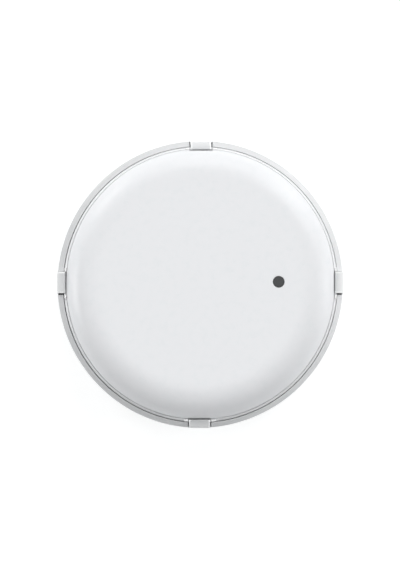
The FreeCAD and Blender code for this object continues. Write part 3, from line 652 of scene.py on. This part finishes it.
support = tube(7.7, 8.5, shell["root"], shell["seat"], 128, (cellX, 0))
key = boxed((-1, 22.4, shell["root"]), (1, 24.3, 5.5))
shellBody = carved(shellBody, [*posts, *bosses, support, key], "UNION")
pilots = [tube(0, 0.6, 2.8, 6, 32, spot) for spot in screwSpots]
shellBody = carved(shellBody, [*pilots, *atStations(cover["chord"], 25.4, notchWidth, clipSeat, 11)])
# a slot in front of each hook, so that a tool can reach under it
slots = atStations(cover["chord"], shell["slotOutside"], notchWidth - 0.2, shell["slotBottom"], 11)
shellBody = carved(shellBody, slots)
for face in shellBody.faces:  # above the lip there are only posts, which take the painted light
    face.material_index = 1 if face.calc_center_median().z > (shoulder + 0.6) * mm else 0
placed("shellCup", shellBody, [shellAbs, paintedLightPosts], "tag", "rear_shell")
print("shell done")


# ---- cradle with its sloping ring

clip = {
    "width": {"right": 3.86, "top": 3.7, "left": 3.86, "bottom": 3.84},
    "aside": {"right": 0.1, "top": 0.0, "left": -0.1, "bottom": -0.03},  # each stands this far along its notch
    "inside": 25.27,
    "outside": {"right": 25.98, "top": 25.86, "left": 25.98, "bottom": 26.09},
    "tip": {"right": 24.43, "top": 24.41, "left": 24.52, "bottom": 24.65},
    "lipBottom": clipSeat + 0.05,
    "high": 1.0,  # lip thickness
    "fall": 0.5,  # of its top toward the outside
    "round": 0.3,  # of the outer top edge
    "paintedLight": 0.27,  # width of the painted highlight band at each end
}
clipMiddle = {name: offMiddle[name] + clip["aside"][name] for name in stations}
cradle = {
    "radius": 26.0,
    "bore": 25.02,
    "coreShift": (0.02, -0.08),  # the rim of the bore is this far off the outside's middle
    "oval": 0.085,  # of the outside; the bore has the cover's
    "slotOutside": {"right": 25.77, "top": 25.9, "left": 25.77, "bottom": 25.9},
    "ringTop": shoulder + 0.3,
    "ringWidth": 0.85,
    "slope": 33,
    "floorTop": 2.1,
    "back": 0.3,
    "padRadius": 12.15,
    "padFloor": 0.8,
    "ledgeInside": 20.5,  # the raised ring that the tag stands on
    "ledgeOutside": 22.1,
    "ledgeTop": 2.3,
    "screwX": 17,
    "screwPath": [(0, 0.1), (1.7, 0.1), (1.7, 0.8), (3.05, 2.15), (3.05, 2.6), (0, 2.6)],  # countersunk
}
ringEdge = cradle["ringTop"] - cradle["ringWidth"] * math.tan(math.radians(cradle["slope"]))
cradlePath = softened(
    [
        (0, cradle["padFloor"]),
        (cradle["padRadius"], cradle["padFloor"]),
        (cradle["padRadius"], cradle["back"]),
        (cradle["radius"] - 0.6, cradle["back"]),
        (cradle["radius"] - 0.1, cradle["back"] + 0.5, 0.2),
        (cradle["radius"], ringEdge, 0.12),
        (cradle["bore"], cradle["ringTop"], 0.06),
        (cradle["bore"], cradle["floorTop"], 0.2),
        (cradle["ledgeOutside"], cradle["floorTop"]),
        (cradle["ledgeOutside"], cradle["ledgeTop"]),
        (cradle["ledgeInside"], cradle["ledgeTop"]),
        (cradle["ledgeInside"], cradle["floorTop"]),
        (0, cradle["floorTop"]),
    ]
)


def cradleShift(r, z):
    """the rim of the bore is off the middle, the floor far below it isn't"""
    return cradle["coreShift"] if r < ovalFrom["cradle"] and z > 5 else (0, 0)


def cradleOval(r, z):
    """the outside has its own, the bore the cover's, and the rest is round"""
    if r > ovalFrom["cradle"]:
        return cradle["oval"]
    return cover["oval"] if r > ovalFrom["bore"] else 0


cradleBody = revolved(cradlePath, at=cradleShift, oval=cradleOval)
# the slots beside a clip are open inside and all but closed by a thin lip outside
notches = atStations(24.8, cradle["slotOutside"], notchWidth, cradle["floorTop"], 12)
gates = []
for name, turn in stations.items():
    half = clip["width"][name] / 2 + 0.04
    low = (25.7, clipMiddle[name] - half, cradle["floorTop"])
    gates.append(boxed(low, (26.4, clipMiddle[name] + half, 12), turn))
sinks = [revolved(cradle["screwPath"], 64, (x, 0)) for x in (-cradle["screwX"], cradle["screwX"])]
cradleBody = carved(cradleBody, [*notches, *sinks])
cradleBody = carved(cradleBody, gates)
placed("cradleRing", cradleBody, [cradleAbs], "cradle", "mount_cradle", 30)


# ---- four snap clips

lipTop = clip["lipBottom"] + clip["high"]
for name, turn in stations.items():
    width, tip, outside = clip["width"][name], clip["tip"][name], clip["outside"][name]
    bright = (width / 2 - clip["paintedLight"]) * mm
    outline = softened(
        [
            (clip["inside"], cradle["floorTop"]),
            (outside - 0.08, cradle["floorTop"]),
            (outside, ringEdge - 0.6, 0.5),
            (outside, lipTop - clip["fall"], clip["round"]),
            (tip, lipTop, 0.13),
            (tip, clip["lipBottom"], 0.06),
            (clip["inside"], clip["lipBottom"], 0.1),
        ],
        4,
    )
    bm = bmesh.new()
    near = bm.faces.new([bm.verts.new((p.x * mm, -width / 2 * mm, p.y * mm)) for p in outline])
    out = bmesh.ops.extrude_face_region(bm, geom=[near])
    moved = [v for v in out["geom"] if isinstance(v, bmesh.types.BMVert)]
    bmesh.ops.translate(bm, vec=(0, width * mm, 0), verts=moved)
    ends = [e for e in bm.edges if abs(e.verts[0].co.y - e.verts[1].co.y) < 1e-7]
    bmesh.ops.bevel(bm, geom=ends, offset=0.09 * mm, segments=3, profile=0.5, affect="EDGES", clamp_overlap=False)
    for y in (-bright, bright):
        everything = bm.verts[:] + bm.edges[:] + bm.faces[:]
        bmesh.ops.bisect_plane(bm, geom=everything, plane_co=(0, y, 0), plane_no=(0, 1, 0))
    # the ends take the painted highlight
    for face in bm.faces:
        face.material_index = 1 if abs(face.calc_center_median().y) > bright else 0
    bmesh.ops.translate(bm, vec=(0, clipMiddle[name] * mm, 0), verts=bm.verts)
    bmesh.ops.rotate(bm, matrix=Matrix.Rotation(math.radians(turn), 3, "Z"), verts=bm.verts)
    looks = [clipAbs[name], clipEndHighlight]
    placed("snapClip" + name.capitalize(), bm, looks, "cradle", "snap_clip_" + name, 40)
print("cradle and clips done")


# ---- foam pad behind the cradle

# polyethylene foam tape, closed cell, die cut: chalky white with pin-size cells and a faint skin over them
foam, tree, shader = newMaterial("foamedPolyethylene", IOR=1.5, Sheen_Weight=0.15)
where = grainOf(tree, shader, 0.3, 0.04, 0.5, ("#c9cbcb", "#dbdcda"), (0.75, 0.9))
cells = addNode(tree, "ShaderNodeTexVoronoi", [("Vector", where, "Object")], Scale=1 / (0.35 * mm))
bumped(tree, shader, cells, "Distance", 0.6, 0.05)

pad = {"radius": 12.0, "bulge": 0.12, "thick": highest("adhesive_pad")}
padEdge = pad["radius"] - pad["bulge"]
lowerHalf = [
    (0, 0),
    (pad["radius"] - 1.5, 0),
    (padEdge - 0.06, 0),
    (padEdge, 0.04),
    (pad["radius"] - 0.3 * pad["bulge"], 0.2),
]
upperHalf = [(r, pad["thick"] - z) for r, z in reversed(lowerHalf)]
padBody = revolved([*lowerHalf, (pad["radius"], pad["thick"] / 2), *upperHalf], 144)
foamPad = placed("foamPad", padBody, [foam], "cradle", "adhesive_pad", 60)
print("foam pad done")


# ---- materials of the inside

# EPDM rubber, compression moulded: black, dull, with a faint bloom
epdm = grained("mouldedEpdm", 0.2, 0.01, 0.4, ("#19191a", "#262728"), (0.5, 0.65), IOR=1.5)

# glass-filled nylon, injection moulded: black with a dry, slightly streaked face
nylon = grained("glassFilledNylon", 0.25, 0.012, 0.5, ("#1c1d1f", "#2c2d2f"), (0.42, 0.58), IOR=1.53)

# natural nylon, moulded ring: milky and waxy
milky = {"IOR": 1.53, "Subsurface_Weight": 0.1}
gasketNylon = grained("naturalNylon", 0.2, 0.006, 0.3, ("#b9b6a8", "#cbc8bb"), (0.38, 0.5), **milky)

# stainless steel, deep drawn and nickel plated: satin, with faint turning rings that only show in the gloss
drawnSteel, tree, shader = newMaterial("drawnNickelSteel", Metallic=1.0)
where = grainOf(tree, shader, 0.3, 0.002, 0.3, ("#bcbdbe", "#c3c4c3"), (0.28, 0.31))
cellMiddle = [(1, (cellX * mm, 0, 0))]
centred = addNode(tree, "ShaderNodeVectorMath", [(0, where, "Object")], cellMiddle, operation="SUBTRACT")
wave = {"wave_type": "RINGS", "rings_direction": "Z", "Scale": wavePeriod / (0.35 * mm), "Distortion": 1.5}
rings = addNode(tree, "ShaderNodeTexWave", [("Vector", centred, "Vector")], **wave)
bumped(tree, shader, rings, "Fac", 0.12, 0.01)

# phosphor bronze, stamped and nickel plated: springy strip, bright along its rolled grain
strip, tree, shader = newMaterial("stampedNickelBronze", Metallic=1.0)
where = grainOf(tree, shader, 0.12, 0.002, 0.3, ("#cac7be", "#cfccc3"), (0.25, 0.28))
stretched = addNode(tree, "ShaderNodeMapping", [("Vector", where, "Object")], Scale=(0.06, 1.0, 1.0))
rolled = addNode(tree, "ShaderNodeTexNoise", [("Vector", stretched, "Vector")], Scale=1 / (0.08 * mm), Detail=3.0)
bumped(tree, shader, rolled, "Fac", 0.1, 0.004)

# steel screws, cold headed, zinc plated: cool bright grey, a little cloudy
zinc = grained("zincPlatedSteel", 0.15, 0.004, 0.4, ("#aeb4ba", "#c8cdd0"), (0.26, 0.4), Metallic=1.0)

# tin, reflowed solder and dipped ends: soft silver with a wavy skin
tin = grained("reflowedTin", 0.18, 0.02, 0.5, ("#b7b8b8", "#cfd0cf"), (0.22, 0.36), Metallic=1.0)

# copper, etched, immersion gold over nickel: pale warm gold, satin
gold = grained("immersionGold", 0.1, 0.004, 0.35, ("#d2a862", "#e4c182"), (0.26, 0.36), Metallic=1.0)

# epoxy, transfer moulded on the chips: charcoal with a fine matt spark finish
epoxy = grained("mouldedEpoxy", 0.08, 0.006, 0.45, ("#202123", "#2c2d2e"), (0.46, 0.6), IOR=1.55)

# kovar lids, stamped and nickel plated: brighter than the cell, almost plain
kovar = grained("stampedKovarLid", 0.2, 0.003, 0.3, ("#cac8c1", "#cfcdc6"), (0.23, 0.26), Metallic=1.0)

# alumina, pressed and fired: the white base of the crystals and of the light
alumina = grained("firedAlumina", 0.08, 0.004, 0.4, ("#cfcdc6", "#e0ded8"), (0.4, 0.55), IOR=1.76)

# barium titanate, fired: the tan body of the chip capacitors
titanate = grained("firedTitanate", 0.07, 0.004, 0.4, ("#8a6a4c", "#a07f5e"), (0.34, 0.48), IOR=1.7)

# ferrite powder, pressed: iron grey and gritty
ferrite = grained("pressedFerrite", 0.1, 0.01, 0.5, ("#3a3b3d", "#4c4d4f"), (0.5, 0.66), IOR=1.8)

# resistor glaze, printed glass over the film: black and glossy
glossy = {"IOR": 1.52, "Coat_Weight": 0.4}
glaze = grained("printedGlassGlaze", 0.1, 0.004, 0.3, ("#17181a", "#242527"), (0.2, 0.32), **glossy)

# clear epoxy, cast over the light chip: watery and faintly yellow
watery = {"IOR": 1.54, "Coat_Weight": 0.5}
castEpoxy = grained("castClearEpoxy", 0.15, 0.003, 0.2, ("#d9d6b4", "#e9e7cd"), (0.12, 0.2), **watery)

# acetal, moulded switch plungers: mid grey, smooth
acetal = grained("mouldedAcetal", 0.1, 0.004, 0.3, ("#8b8d90", "#9b9da0"), (0.3, 0.4), IOR=1.48)

# solder mask over glass-epoxy board, curtain coated: deep green with a wet sheen, the copper tracks raised under it.
# The tracks are drawn at 0.9 mm pitch, coarser than the real 0.3 mm, so that they show.
track = {"pitch": 0.9, "block": 4.4, "gap": 0.7, "bare": 0.35, "tone": "#2c6b45"}
mask, tree, shader = newMaterial("coatedSolderMask", IOR=1.52, Coat_Weight=0.5, Coat_Roughness=0.15)
where = grainOf(tree, shader, 0.12, 0.004, 0.3, ("#12402c", "#174a33"), (0.3, 0.42))
point = [("Vector", where, "Object")]
square = {"distance": "CHEBYCHEV", "Scale": 1 / (track["block"] * mm), "Randomness": 0.9}
blocks = addNode(tree, "ShaderNodeTexVoronoi", point, **square)
pick = addNode(tree, "ShaderNodeSeparateColor", [("Color", blocks, "Color")])
waveScale = wavePeriod / (track["pitch"] * mm)
acrossX = addNode(tree, "ShaderNodeTexWave", point, bands_direction="X", Scale=waveScale)
acrossY = addNode(tree, "ShaderNodeTexWave", point, bands_direction="Y", Scale=waveScale)
turnedBlock = addNode(tree, "ShaderNodeMath", [(0, pick, "Red")], operation="GREATER_THAN")
tracks = addNode(tree, "ShaderNodeMix", [(0, turnedBlock, "Value"), (2, acrossX, "Fac"), (3, acrossY, "Fac")])
line = addNode(tree, "ShaderNodeMath", [(0, tracks, "Result")], [(1, track["gap"])], operation="GREATER_THAN")
shown = addNode(tree, "ShaderNodeMath", [(0, pick, "Green")], [(1, track["bare"])], operation="GREATER_THAN")
copper = addNode(tree, "ShaderNodeMath", [(0, line, "Value"), (1, shown, "Value")], operation="MULTIPLY")
base = shader.inputs["Base Color"].links[0].from_node
trackTone = [(7, linear(track["tone"]))]
tinted = addNode(tree, "ShaderNodeMix", [(0, copper, "Value"), (6, base, "Color")], trackTone, data_type="RGBA")
facing = addNode(tree, "ShaderNodeSeparateXYZ", [("Vector", where, "Normal")])
upright = addNode(tree, "ShaderNodeMath", [(0, facing, "Z")], operation="ABSOLUTE")
rim = addNode(tree, "ShaderNodeMath", [(0, upright, "Value")], operation="LESS_THAN")
rimTone = [(7, linear("#a39a66"))]  # the bare cut edge of the board
edged = addNode(tree, "ShaderNodeMix", [(0, rim, "Value"), (6, tinted, "Result")], rimTone, data_type="RGBA")
tree.links.new(edged.outputs["Result"], shader.inputs["Base Color"])
bumped(tree, shader, copper, "Value", 0.5, 0.03)

dress("circuit_board", mask)
dress("seal_ring", epdm)
dress("battery_holder", nylon)
dress("battery_gasket", gasketNylon)
dress("battery_cap", drawnSteel)
dress("positive_contact", strip)
dress("negative_contact", strip)
dress("antenna_trace", gold)
dress("test_pads", gold)
for switch in ("mode", "reset"):
    dress(switch + "_switch_base", nylon)
    dress(switch + "_switch_cover", kovar)
print("inside materials done")


# ---- parts on the board


def endCapped(low, high, cap, along=0, rounding=0.05):
    """chip part: a body between two dipped metal ends"""
    low, high = Vector(low), Vector(high)
    first, last = high.copy(), low.copy()
    first[along] = low[along] + cap
    last[along] = high[along] - cap
    inset = Vector((0.02, 0.02, 0.02))
    body = toned(boxed(low + inset, high - inset, 0, rounding * 0.6), 0)
    return joined(body, toned(boxed(low, first, 0, rounding, 3), 1), toned(boxed(last, high, 0, rounding, 3), 1))


def lidded(node, base, inset, rounding):
    """ceramic base with a lid set in from its edge"""
    low, high = corners(node)
    step = Vector((inset, inset, 0))
    floorPart = toned(boxed(low, (high.x, high.y, low.z + base), 0, 0.04), 1)
    lid = toned(boxed(low + step + Vector((0, 0, base - 0.05)), high - step, 0, rounding, 3), 0)
    return joined(floorPart, lid)


chipParts = {
    "capacitors": {
        "x": [9.4 + 1.3 * n for n in range(5)],
        "y": 11.4,
        "size": (0.5, 1.0, 0.45),
        "cap": 0.24,
        "body": titanate,
        "slot": "ceramic_brown",
    },
    "resistors": {
        "x": [10.0 + 1.3 * n for n in range(4)],
        "y": 3.2,
        "size": (0.5, 1.0, 0.45),
        "cap": 0.2,
        "body": glaze,
        "slot": "resistor_black",
    },
}
boardTop = highest("circuit_board")
for node, row in chipParts.items():
    rowParts = []
    for x in row["x"]:
        half = Vector((row["size"][0] / 2, row["size"][1] / 2, 0))
        middle = Vector((x, row["y"], boardTop))
        rowParts.append(endCapped(middle - half, middle + half + Vector((0, 0, row["size"][2])), row["cap"], 1))
    placed("row" + node.capitalize(), joined(*rowParts), [row["body"], tin], "tag", node)

bulk = endCapped(*corners("bulk_capacitor"), 0.55, 0, 0.12)
placed("bulkCapacitor", bulk, [titanate, tin], "tag", "bulk_capacitor")
coil = endCapped(*corners("power_inductor"), 0.5, 0, 0.1)
placed("powerInductor", coil, [ferrite, tin], "tag", "power_inductor")
crystal = lidded("main_crystal", 0.25, 0.14, 0.08)
placed("mainCrystal", crystal, [kovar, alumina], "tag", "main_crystal")
crystal = lidded("clock_crystal", 0.3, 0.12, 0.12)
placed("clockCrystal", crystal, [kovar, alumina], "tag", "clock_crystal")
light = lidded("status_led", 0.22, 0.12, 0.12)
placed("statusLight", light, [castEpoxy, alumina], "tag", "status_led")


def chipPackage(node, leads, pitch):
    """moulded square package: a dimple at its first corner and plated lands along its sides"""
    low, high = corners(node)
    body = boxed(low + Vector((0.03, 0.03, 0.02)), high - Vector((0.03, 0.03, 0)), 0, 0.07, 3)
    dimple = tube(0, 0.22, high.z - 0.06, high.z + 0.1, 32, (low.x + 0.6, high.y - 0.6))
    parts = [toned(carved(body, [dimple]), 0)]
    middle = (low + high) / 2
    reach = (high.x - low.x) / 2
    for side in range(4):
        for n in range(leads):
            at = (n - (leads - 1) / 2) * pitch
            land = boxed((reach - 0.12, at - 0.11, low.z), (reach, at + 0.11, low.z + 0.2), 0, 0.01, 1)
            bmesh.ops.rotate(land, matrix=Matrix.Rotation(side * math.pi / 2, 3, "Z"), verts=land.verts)
            bmesh.ops.translate(land, vec=Vector((middle.x, middle.y, 0)) * mm, verts=land.verts)
            parts.append(toned(land, 1))
    return joined(*parts)


placed("radioChip", chipPackage("bluetooth_chip", 12, 0.4), [epoxy, tin], "tag", "bluetooth_chip")
placed("motionChip", chipPackage("motion_sensor", 3, 0.5), [epoxy, tin], "tag", "motion_sensor")

# solder on the lands, a little wider than each part
solder = []
solderLow = boardTop - 0.02
for node, row in chipParts.items():
    for x in row["x"]:
        for sign in (-1, 1):
            y = row["y"] + sign * (row["size"][1] / 2 - 0.02)
            solder.append(boxed((x - 0.3, y - 0.18, solderLow), (x + 0.3, y + 0.18, boardTop + 0.05), 0, 0.03))
for node in ("bulk_capacitor", "power_inductor", "main_crystal", "clock_crystal", "status_led"):
    low, high = corners(node)
    for x in (low.x, high.x):
        solder.append(boxed((x - 0.22, low.y + 0.1, solderLow), (x + 0.22, high.y - 0.1, boardTop + 0.08), 0, 0.06))
solderJoints = newPiece("solderJoints", meshFrom(joined(*solder), "solderJoints"))
solderJoints.data.materials.append(tin)
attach(solderJoints, "tag")

# a sprung cap; keep is the share of its height that is left when its plunger is down
snap = {"radius": 1.35, "sheet": 0.08, "keep": 0.62, "steps": 12}
for switch in ("mode", "reset"):
    low, high = corners(switch + "_button")
    middle = (low + high) / 2
    foot = [(0, low.z), (1.4, low.z, 0.05), (1.4, low.z + 0.22), (1.0, low.z + 0.24)]
    body = revolved(softened([*foot, (1.0, high.z, 0.22), (0, high.z)]), 48, (middle.x, middle.y))
    placed(switch + "Plunger", body, [acetal], switch + "_button", switch + "_button")
    low, high = corners(switch + "_switch_dome")
    rise = high.z - low.z
    outward = [k / snap["steps"] for k in range(snap["steps"] + 1)]
    thinner, lower = snap["radius"] - snap["sheet"], rise - snap["sheet"]
    under = [(thinner * t, high.z - snap["sheet"] - lower * t**2) for t in outward]
    over = [(snap["radius"] * t, high.z - rise * t**2) for t in reversed(outward)]
    body = revolved([*under, *over], 48, (middle.x, middle.y))
    snapDome = placed(switch + "SnapDome", body, [strip], "tag", switch + "_switch_dome", 60)
    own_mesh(snapDome)
print("board parts done")


# ---- coin cell and screws

cell = {
    "radius": 12.25,
    "inside": 11.95,
    "low": lowest("battery_can"),
    "high": highest("battery_can"),
    "sheet": 0.25,
    "ring": 10.65,  # pressed into its face
    "plusX": -11.3,  # the stamped mark
    "plusReach": 1.7,
    "plusHalf": 0.28,
    "stamped": 0.06,
}
cellPath = softened(
    [
        (0, cell["high"]),
        (cell["ring"] - 0.15, cell["high"]),
        (cell["ring"], cell["high"] - 0.05),
        (cell["ring"] + 0.15, cell["high"]),
        (cell["radius"], cell["high"], 0.45),
        (cell["radius"], cell["low"], 0.12),
        (cell["inside"], cell["low"]),
        (cell["inside"], cell["high"] - cell["sheet"], 0.3),
        (0, cell["high"] - cell["sheet"]),
    ]
)
cellBody = revolved(cellPath, 192, (cellX, 0))
plus = crossed(cell["plusReach"], cell["plusHalf"], cell["high"] - cell["stamped"], 12, (cell["plusX"], 0))
placed("coinCell", carved(cellBody, [plus]), [drawnSteel], "tag", "battery_can")

screw = {"head": 1.4, "under": 5.1, "top": 5.9, "shank": 0.6, "root": 0.44, "tip": 3.0, "pitch": 0.45}
top, root = screw["top"], screw["root"]
# a domed pan head, then the thread down to the tip
profile = [(0, top), (0.7, top - 0.02), (1.1, top - 0.12), (1.34, top - 0.34), (screw["head"], top - 0.5)]
profile.append((screw["head"], screw["under"]))
z = screw["under"]
while z - screw["pitch"] > screw["tip"] + 0.3:
    profile += [(root, z - 0.05), (screw["shank"], z - screw["pitch"] / 2), (root, z - screw["pitch"] + 0.02)]
    z -= screw["pitch"]
profile += [(0.35, screw["tip"] + 0.05), (0, screw["tip"])]
screwParts = []
for k, at in enumerate(screwSpots):
    recess = crossed(0.55, 0.13, top - 0.42, 7)
    driven = Matrix.Rotation(0.4 + 1.1 * k, 3, "Z")  # each stopped at an angle of its own
    bmesh.ops.rotate(recess, matrix=driven, verts=recess.verts)
    bmesh.ops.translate(recess, vec=Vector((*at, 0)) * mm, verts=recess.verts)
    screwParts.append(carved(revolved(profile, 48, at), [recess]))
placed("boardScrews", joined(*screwParts), [zinc], "tag", "board_screws", 30)
print("cell and screws done")
